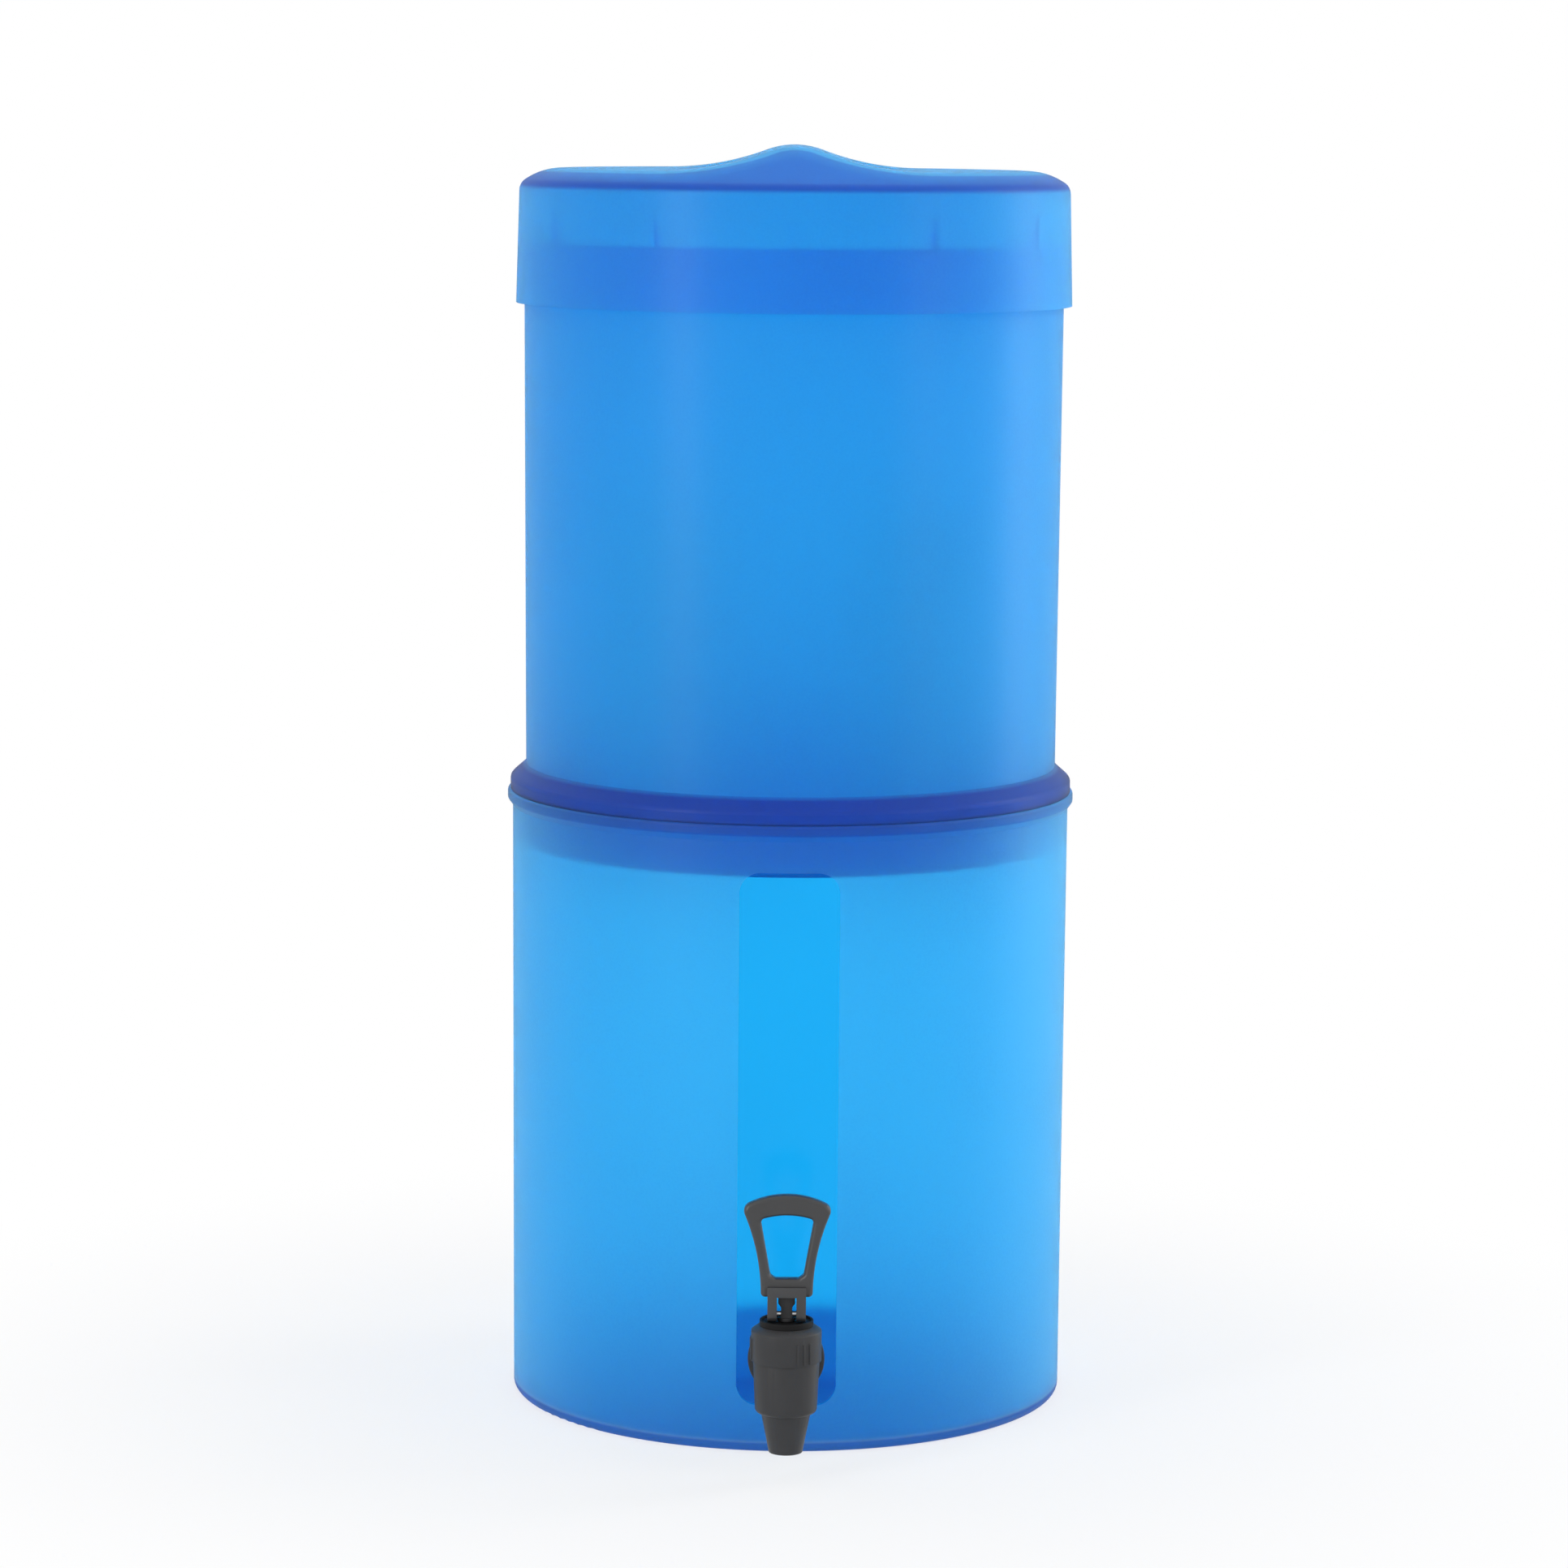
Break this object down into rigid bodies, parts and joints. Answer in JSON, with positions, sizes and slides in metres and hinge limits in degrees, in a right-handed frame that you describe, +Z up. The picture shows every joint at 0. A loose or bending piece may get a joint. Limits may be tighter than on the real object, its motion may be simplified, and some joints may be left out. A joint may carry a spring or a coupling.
{
  "type": "gravity water filter",
  "caption": "Table-top gravity water filter: lidded translucent blue upper container with ceramic candles on a lower container with a sight window and a loop-handle tap.",
  "frame": {"origin": "on the containers' axis, on the flat base that the lower container stands on", "axes": "+Z up along the containers' axis, -Y towards the tap at the front, +X to the right of a person facing the tap"},
  "size_m": [0.25, 0.304, 0.552],
  "materials": {
    "blue_polypropylene": "satin translucent moulding with a fine frosted grain and a clear sight window",
    "dark_grey_plastic": "semi-gloss injection moulding",
    "black_rubber": "matte moulded rubber",
    "white_silicone": "soft satin silicone",
    "white_ceramic": "fine dry ceramic",
    "activated_carbon": "dry granules",
    "white_plastic": "satin injection moulding",
    "stainless_steel": "drawn wire and turned pin"
  },
  "bodies": {
    "lower_container": {"lower_container": "blue_polypropylene", "tap_body": "dark_grey_plastic", "outer_gasket": "black_rubber", "inner_gasket": "black_rubber", "shank_nut": "dark_grey_plastic", "tap_bonnet": "dark_grey_plastic", "bumper_ring": "black_rubber", "stem_seal": "black_rubber", "return_spring": "stainless_steel"},
    "upper_container": {"upper_container": "blue_polypropylene", "candle_ceramic_left": "white_ceramic", "candle_ceramic_right": "white_ceramic", "carbon_core_left": "activated_carbon", "carbon_core_right": "activated_carbon", "candle_base_left": "white_plastic", "candle_base_right": "white_plastic", "candle_gasket_left": "white_silicone", "candle_gasket_right": "white_silicone", "floor_washers": "white_silicone", "wing_nuts": "white_plastic"},
    "lid": {"lid": "blue_polypropylene"},
    "tap_stem": {"tap_stem": "dark_grey_plastic", "valve_plug": "black_rubber", "hinge_pin": "stainless_steel"},
    "tap_handle": {"tap_handle": "dark_grey_plastic"}
  },
  "joints": [
    {"name": "upper_container_lift", "type": "slide", "parent": "lower_container", "child": "upper_container", "axis": [0, 0, 1], "range_m": [0, 0.06]},
    {"name": "lid_lift", "type": "slide", "parent": "upper_container", "child": "lid", "axis": [0, 0, 1], "range_m": [0, 0.045]},
    {"name": "stem_lift", "type": "slide", "parent": "lower_container", "child": "tap_stem", "axis": [0, 0, 1], "range_m": [0, 0.00295], "deforming": ["return_spring"]},
    {"name": "handle_tilt", "type": "hinge", "parent": "tap_stem", "child": "tap_handle", "pos_m": [0, -0.1643, 0.0711], "axis": [1, 0, 0], "range_deg": [0, 60], "stiffness_Nm_per_rad": 0.05, "springref_deg": -17.19}
  ],
  "couplings": [
    {"joint": "stem_lift", "follows": "handle_tilt", "m_per_rad": 0.0028118}
  ]
}
